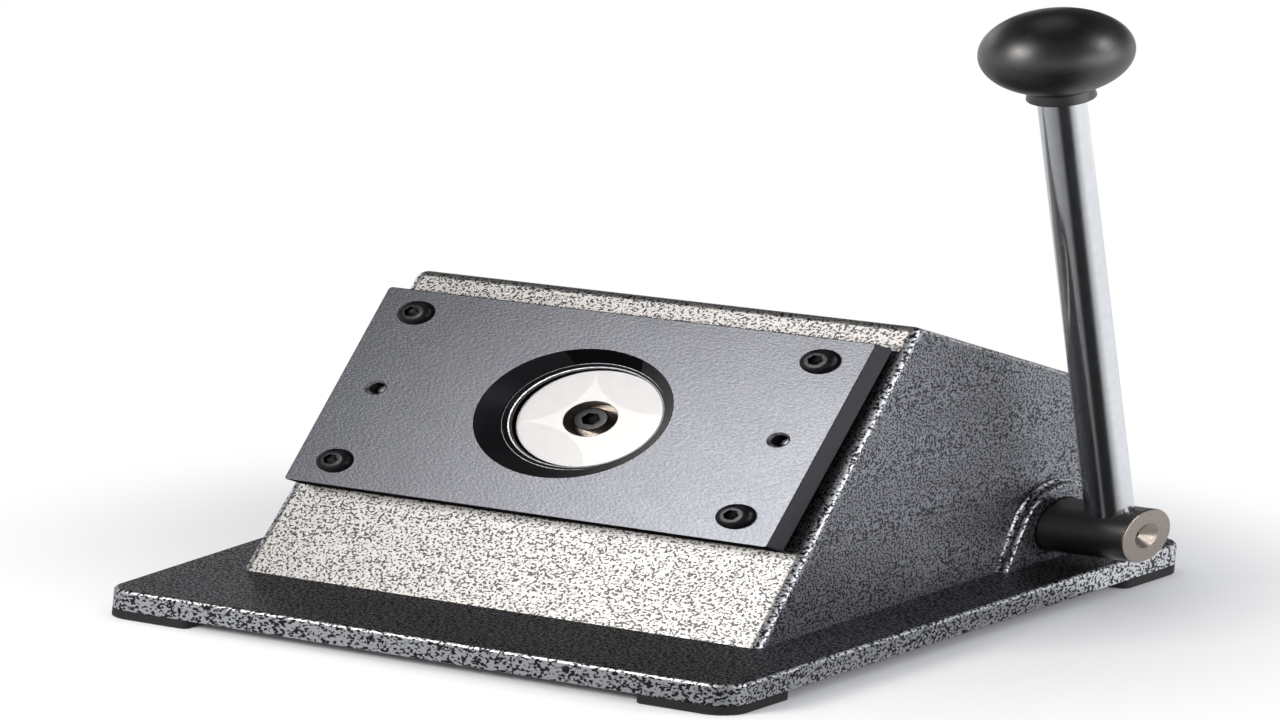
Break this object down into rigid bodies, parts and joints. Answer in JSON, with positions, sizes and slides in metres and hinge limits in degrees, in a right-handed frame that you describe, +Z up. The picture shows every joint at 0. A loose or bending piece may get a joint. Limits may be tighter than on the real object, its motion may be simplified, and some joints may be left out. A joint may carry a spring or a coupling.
{
  "type": "badge circle cutter",
  "caption": "Bench cutter for round paper blanks: a lever turns a cam shaft that drives a punch up through a die ring in a sloping plate.",
  "frame": {"origin": "centre of the underside of the base plate and its bottom cover, 4 mm above what the feet stand on", "axes": "+Z up, -Y towards the operator, who faces the sloping plate, +X to the operator's right, where the lever is"},
  "size_m": [0.2119, 0.213, 0.2739],
  "materials": {
    "hammertone_paint": "silver grey hammertone powder coat with dark specks",
    "satin_gunmetal": "gun-metal grey satin with a fine cast texture",
    "black_oxide_steel": "black oxide, lightly oiled",
    "polished_steel": "ground and polished",
    "turned_steel": "turned or milled, oiled",
    "zinc_steel": "bright zinc plate",
    "bronze": "turned bearing bronze",
    "burnished_steel": "dark brown-grey burnished bar",
    "spring_steel": "oil-tempered spring steel",
    "chrome_plate": "bright chrome plate",
    "gloss_phenolic": "moulded black phenolic, glossy",
    "black_rubber": "moulded black rubber, matt"
  },
  "bodies": {
    "frame": {"base_plate": "hammertone_paint", "body_shell": "hammertone_paint", "side_boss_right": "hammertone_paint", "side_boss_left": "hammertone_paint", "bottom_cover": "zinc_steel", "die_plate": "satin_gunmetal", "guide_plate": "black_oxide_steel", "die_ring": "polished_steel", "dowel_right": "turned_steel", "dowel_left": "turned_steel", "ram_guide": "bronze", "shaft_bush_right": "bronze", "shaft_bush_left": "bronze", "return_spring": "spring_steel", "cover_screw_front_right": "zinc_steel", "body_screw_front_right": "black_oxide_steel", "foot_front_right": "black_rubber", "foot_screw_front_right": "zinc_steel", "cover_screw_front_left": "zinc_steel", "body_screw_front_left": "black_oxide_steel", "foot_front_left": "black_rubber", "foot_screw_front_left": "zinc_steel", "cover_screw_rear_right": "zinc_steel", "body_screw_rear_right": "black_oxide_steel", "foot_rear_right": "black_rubber", "foot_screw_rear_right": "zinc_steel", "cover_screw_rear_left": "zinc_steel", "body_screw_rear_left": "black_oxide_steel", "foot_rear_left": "black_rubber", "foot_screw_rear_left": "zinc_steel", "plate_screw_top_right": "black_oxide_steel", "plate_screw_top_left": "black_oxide_steel", "plate_screw_bottom_left": "black_oxide_steel", "plate_screw_bottom_right": "black_oxide_steel", "guide_screw_1": "black_oxide_steel", "guide_screw_2": "black_oxide_steel", "guide_screw_3": "black_oxide_steel", "guide_screw_4": "black_oxide_steel"},
    "crank": {"cross_shaft": "burnished_steel", "lever_rod": "chrome_plate", "knob": "gloss_phenolic", "knob_insert": "bronze", "cam": "turned_steel", "cam_key": "polished_steel", "cam_grub_screw": "black_oxide_steel", "retaining_ring": "spring_steel", "thrust_washer": "zinc_steel", "shaft_collar": "zinc_steel", "collar_grub_screw": "black_oxide_steel"},
    "ram": {"punch": "polished_steel", "punch_screw": "polished_steel", "ram": "turned_steel", "fork": "turned_steel", "fork_pin": "polished_steel", "roller_pin": "polished_steel"},
    "roller": {"roller": "turned_steel"}
  },
  "joints": [
    {"name": "lever_hinge", "type": "hinge", "parent": "frame", "child": "crank", "pos_m": [0, 0.0705, 0.024], "axis": [1, 0, 0], "range_deg": [0, 75]},
    {"name": "ram_slide", "type": "slide", "parent": "frame", "child": "ram", "axis": [0, -0.866, 0.5], "range_m": [0, 0.00995], "stiffness_N_per_m": 2000, "springref_m": -0.01, "deforming": ["return_spring"]},
    {"name": "roller_spin", "type": "hinge", "parent": "ram", "child": "roller", "pos_m": [0, 0.05127, 0.03966], "axis": [1, 0, 0], "continuous": true}
  ],
  "couplings": [
    {"joint": "ram_slide", "follows": "lever_hinge", "m_per_rad": 0.0076}
  ]
}
